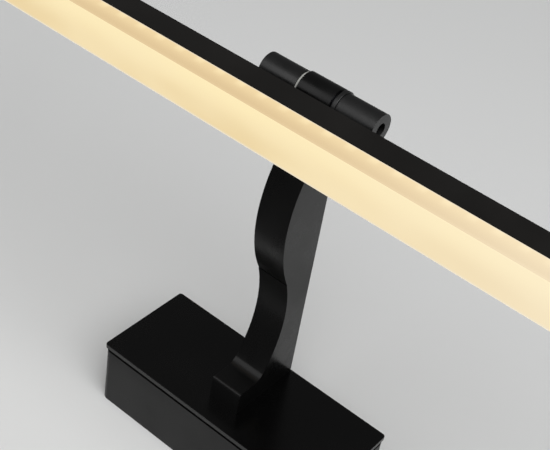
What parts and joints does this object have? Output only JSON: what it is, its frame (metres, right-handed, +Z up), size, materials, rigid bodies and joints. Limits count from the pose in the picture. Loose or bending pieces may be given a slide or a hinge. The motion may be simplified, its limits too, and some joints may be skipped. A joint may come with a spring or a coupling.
{
  "type": "picture light",
  "caption": "Wall picture light: black box with a shadow gap, flat wave-shaped arm, three-knuckle friction hinge and a long bar with a glowing opal diffuser.",
  "frame": {"origin": "on the wall plane, at the middle of the wall bracket between its two slots", "axes": "+X along the light bar to the right as seen from the room, +Y into the wall, +Z up"},
  "size_m": [0.4024, 0.1548, 0.041],
  "materials": {
    "zinc_steel": "zinc plated, dull",
    "black_rubber": "matt",
    "terminal_nylon": "moulded nylon, satin",
    "earth_brass": "plain",
    "pad_foam": "foam, matt",
    "driver_white": "moulded, fine grain",
    "board_green": "solder mask, satin",
    "component_body": "satin",
    "lead_brown": "PVC sleeve, satin",
    "lead_white": "PVC sleeve, satin",
    "box_black": "powder coat, satin",
    "plate_black": "powder coat, semi-gloss",
    "arm_black": "powder coat, satin",
    "knuckle_black": "powder coat, fine grain",
    "channel_black": "black anodised, matt",
    "cap_black": "moulded, matt",
    "screw_black": "black oxide",
    "pin_steel": "blackened, turned",
    "spring_steel": "blued",
    "washer_nylon": "nylon, satin",
    "led_board_white": "white solder mask",
    "led_phosphor": "clear resin over phosphor",
    "opal": "opal, satin, lit from inside"
  },
  "bodies": {
    "wall_unit": {"wall_bracket": "zinc_steel", "cable_grommet": "black_rubber", "terminal_block": "terminal_nylon", "terminal_screws": "zinc_steel", "earth_screw": "earth_brass", "driver_pad": "pad_foam", "driver_case": "driver_white", "driver_lid": "driver_white", "driver_board": "board_green", "driver_components": "component_body", "supply_leads": "lead_brown", "base_shell": "box_black", "shell_screws": "screw_black", "front_plate": "plate_black", "plate_screws": "zinc_steel", "lead_bushing": "black_rubber", "arm": "arm_black", "arm_screws": "zinc_steel", "arm_screw_washers": "zinc_steel", "groove_cover": "arm_black", "arm_lead": "lead_white", "hinge_pin": "pin_steel", "washer_left": "washer_nylon", "washer_right": "knuckle_black", "wave_washer": "spring_steel"},
    "light_bar": {"hinge_bracket": "knuckle_black", "knuckle_plug": "knuckle_black", "bracket_screws": "screw_black", "lead_grommet": "black_rubber", "bar_lead": "lead_white", "lamp_channel": "channel_black", "led_board": "led_board_white", "led_chips": "led_phosphor", "diffuser": "opal", "end_cap_left": "cap_black", "end_cap_right": "cap_black", "end_cap_screws": "screw_black"}
  },
  "joints": [
    {"name": "bar_tilt", "type": "hinge", "parent": "wall_unit", "child": "light_bar", "pos_m": [0, -0.149, 0.0142], "axis": [-1, 0, 0], "range_deg": [-20, 150]}
  ]
}
